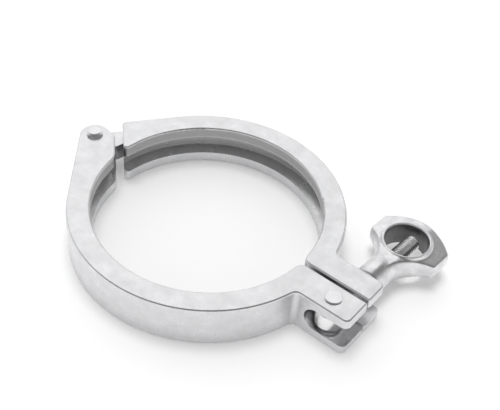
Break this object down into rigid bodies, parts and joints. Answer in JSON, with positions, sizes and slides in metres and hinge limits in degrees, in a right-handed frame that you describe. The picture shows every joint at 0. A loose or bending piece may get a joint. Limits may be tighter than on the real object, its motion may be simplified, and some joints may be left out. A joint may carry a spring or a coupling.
{
  "type": "sanitary hinged clamp",
  "caption": "Hinged two-jaw clamp ring with a V groove, closed by a swing bolt and a wing nut, for joining flanged tube ferrules.",
  "frame": {"origin": "centre of the ring at its lower face", "axes": "+Z along the tube's axis, upwards; +X from the hinge towards the lugs; +Y towards the back jaw"},
  "size_m": [0.1834, 0.132, 0.0242],
  "materials": {
    "cast_steel": "satin, tumbled cast stainless steel",
    "turned_steel": "fine turned stainless steel",
    "threaded_steel": "rolled thread, bright stainless steel",
    "cast_nut": "satin, polished cast stainless steel"
  },
  "bodies": {
    "front_jaw": {"front_jaw": "cast_steel", "hinge_pin": "turned_steel", "bolt_pin": "turned_steel"},
    "back_jaw": {"back_jaw": "cast_steel"},
    "swing_bolt": {"swing_bolt": "threaded_steel"},
    "wing_nut": {"wing_nut": "cast_nut"}
  },
  "joints": [
    {"name": "bolt_swing", "type": "hinge", "parent": "front_jaw", "child": "swing_bolt", "pos_m": [0.0783, -0.0083, 0.011], "axis": [0, 0, -1], "range_deg": [0, 176]},
    {"name": "nut_travel", "type": "slide", "parent": "swing_bolt", "child": "wing_nut", "axis": [0.068, 0.9977, 0], "range_m": [-0.001, 0.03]},
    {"name": "jaw_open", "type": "hinge", "parent": "front_jaw", "child": "back_jaw", "pos_m": [-0.0745, 0, 0.011], "axis": [0, 0, 1], "range_deg": [-0.5, 110]}
  ],
  "couplings": [
    {"joint": "jaw_open", "follows": "nut_travel", "rad_per_m": 5.7143}
  ]
}
